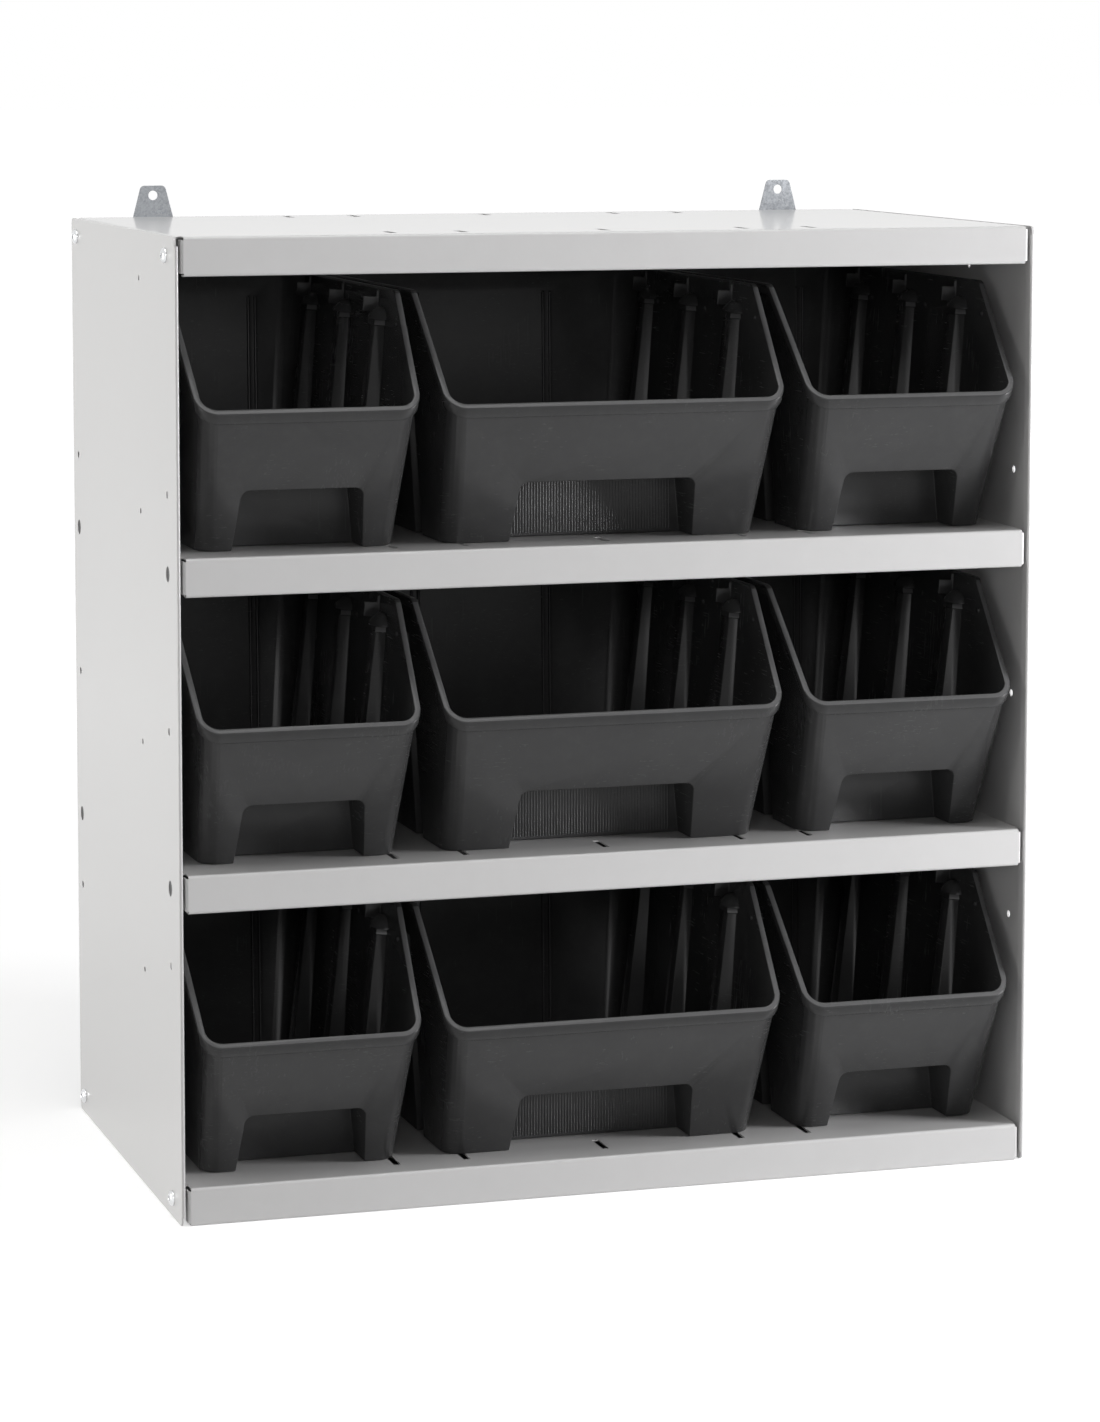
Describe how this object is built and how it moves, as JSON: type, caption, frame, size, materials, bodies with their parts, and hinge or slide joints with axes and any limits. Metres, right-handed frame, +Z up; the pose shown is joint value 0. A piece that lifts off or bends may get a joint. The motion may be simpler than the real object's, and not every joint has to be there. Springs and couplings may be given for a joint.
{
  "type": "bin rack",
  "caption": "Folded steel rack of three bays, open at the front, with slope-fronted plastic bins that pull out, and tabs to hang it on a wall.",
  "frame": {"origin": "on the floor, under the middle of the rack with its bins pushed home", "axes": "+Z up; +Y to the back, towards the wall; +X to the right seen from the front"},
  "size_m": [0.7068, 0.4074, 0.786],
  "materials": {
    "painted_sheet": "light grey powder coat, satin",
    "galvanised_sheet": "galvanised, dull",
    "zinc_steel": "bright zinc plate",
    "stud_plastic": "dark grey, moulded",
    "bin_plastic": "black polypropylene, satin"
  },
  "bodies": {
    "frame": {"left_side_panel": "painted_sheet", "right_side_panel": "painted_sheet", "bottom_tray": "painted_sheet", "lower_shelf_tray": "painted_sheet", "upper_shelf_tray": "painted_sheet", "top_tray": "painted_sheet", "back_panel": "painted_sheet", "left_wall_tab": "galvanised_sheet", "right_wall_tab": "galvanised_sheet", "wall_tab_rivets": "zinc_steel", "left_panel_screws": "zinc_steel", "right_panel_screws": "zinc_steel", "left_weld_nuts": "zinc_steel", "right_weld_nuts": "zinc_steel", "left_shelf_studs": "stud_plastic", "right_shelf_studs": "stud_plastic"},
    "bottom_left_bin": {"bottom_left_bin": "bin_plastic"},
    "bottom_wide_bin": {"bottom_wide_bin": "bin_plastic"},
    "bottom_right_bin": {"bottom_right_bin": "bin_plastic"},
    "middle_left_bin": {"middle_left_bin": "bin_plastic"},
    "middle_wide_bin": {"middle_wide_bin": "bin_plastic"},
    "middle_right_bin": {"middle_right_bin": "bin_plastic"},
    "top_left_bin": {"top_left_bin": "bin_plastic"},
    "top_wide_bin": {"top_wide_bin": "bin_plastic"},
    "top_right_bin": {"top_right_bin": "bin_plastic"}
  },
  "joints": [
    {"name": "bottom_left_bin_slide", "type": "slide", "parent": "frame", "child": "bottom_left_bin", "axis": [0, -1, 0], "range_m": [0, 0.4]},
    {"name": "bottom_wide_bin_slide", "type": "slide", "parent": "frame", "child": "bottom_wide_bin", "axis": [0, -1, 0], "range_m": [0, 0.4]},
    {"name": "bottom_right_bin_slide", "type": "slide", "parent": "frame", "child": "bottom_right_bin", "axis": [0, -1, 0], "range_m": [0, 0.4]},
    {"name": "middle_left_bin_slide", "type": "slide", "parent": "frame", "child": "middle_left_bin", "axis": [0, -1, 0], "range_m": [0, 0.4]},
    {"name": "middle_wide_bin_slide", "type": "slide", "parent": "frame", "child": "middle_wide_bin", "axis": [0, -1, 0], "range_m": [0, 0.4]},
    {"name": "middle_right_bin_slide", "type": "slide", "parent": "frame", "child": "middle_right_bin", "axis": [0, -1, 0], "range_m": [0, 0.4]},
    {"name": "top_left_bin_slide", "type": "slide", "parent": "frame", "child": "top_left_bin", "axis": [0, -1, 0], "range_m": [0, 0.4]},
    {"name": "top_wide_bin_slide", "type": "slide", "parent": "frame", "child": "top_wide_bin", "axis": [0, -1, 0], "range_m": [0, 0.4]},
    {"name": "top_right_bin_slide", "type": "slide", "parent": "frame", "child": "top_right_bin", "axis": [0, -1, 0], "range_m": [0, 0.4]}
  ]
}
